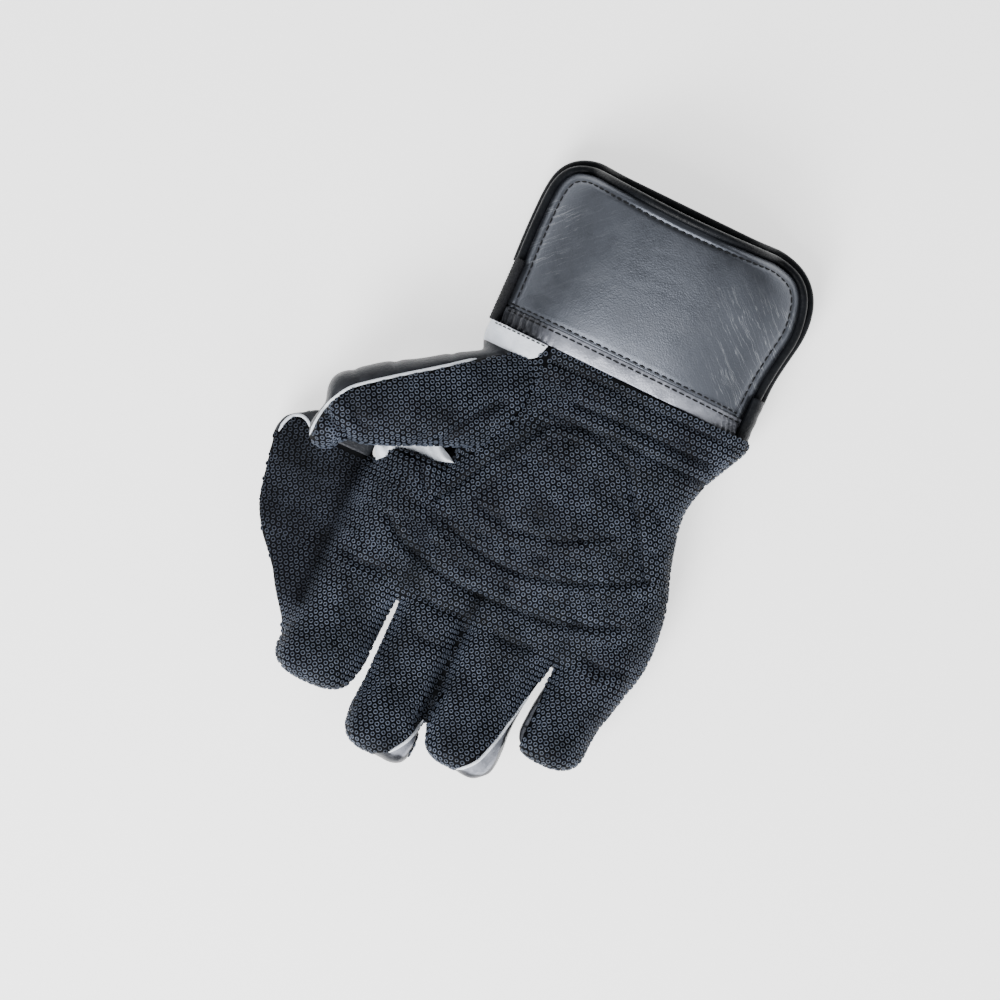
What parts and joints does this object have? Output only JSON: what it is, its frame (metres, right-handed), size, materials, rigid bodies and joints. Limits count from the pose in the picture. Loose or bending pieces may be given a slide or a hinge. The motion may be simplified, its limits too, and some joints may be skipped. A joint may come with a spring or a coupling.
{
  "type": "wicketkeeping glove",
  "caption": "Right-hand wicketkeeping glove lying palm up: pimpled rubber palm, padded leather back, webbing at the index finger and a flared padded cuff.",
  "frame": {"origin": "centre of the footprint, on the floor that the back of the hand rests on", "axes": "+Z out of the palm, +Y from the fingers to the cuff, -X to the thumb side"},
  "size_m": [0.2008, 0.2844, 0.0594],
  "materials": {
    "pimpled_rubber": "matt rubber with small raised rings",
    "grey_leather": "smooth dark grey leather",
    "black_leather": "smooth black leather",
    "silver_leather": "metallic silver-grey leather",
    "pale_silver_leather": "metallic pale silver leather",
    "white_leather": "smooth white leather",
    "elastic": "ribbed black elastic"
  },
  "bodies": {
    "root": {"palm_facing": "pimpled_rubber", "thumb_facing": "pimpled_rubber", "wrist_panel": "white_leather", "thumb_back": "grey_leather", "hand_back": "grey_leather", "webbing_back": "grey_leather", "index_facing": "pimpled_rubber", "index_wall": "pale_silver_leather", "index_back": "black_leather", "middle_facing": "pimpled_rubber", "middle_wall": "pale_silver_leather", "middle_back": "black_leather", "ring_facing": "pimpled_rubber", "ring_wall": "pale_silver_leather", "ring_back": "black_leather", "little_facing": "pimpled_rubber", "little_wall": "pale_silver_leather", "little_back": "black_leather", "thumb_welt": "white_leather", "middle_welt": "white_leather", "ring_welt": "white_leather", "web_welt": "white_leather", "web_tongue": "white_leather", "cuff_front_pad": "silver_leather", "cuff_front_band": "pale_silver_leather", "cuff_back_pad": "black_leather", "cuff_front_piping": "black_leather", "cuff_back_piping": "black_leather", "thumb_side_strip": "elastic", "little_side_strip": "black_leather"}
  },
  "joints": []
}
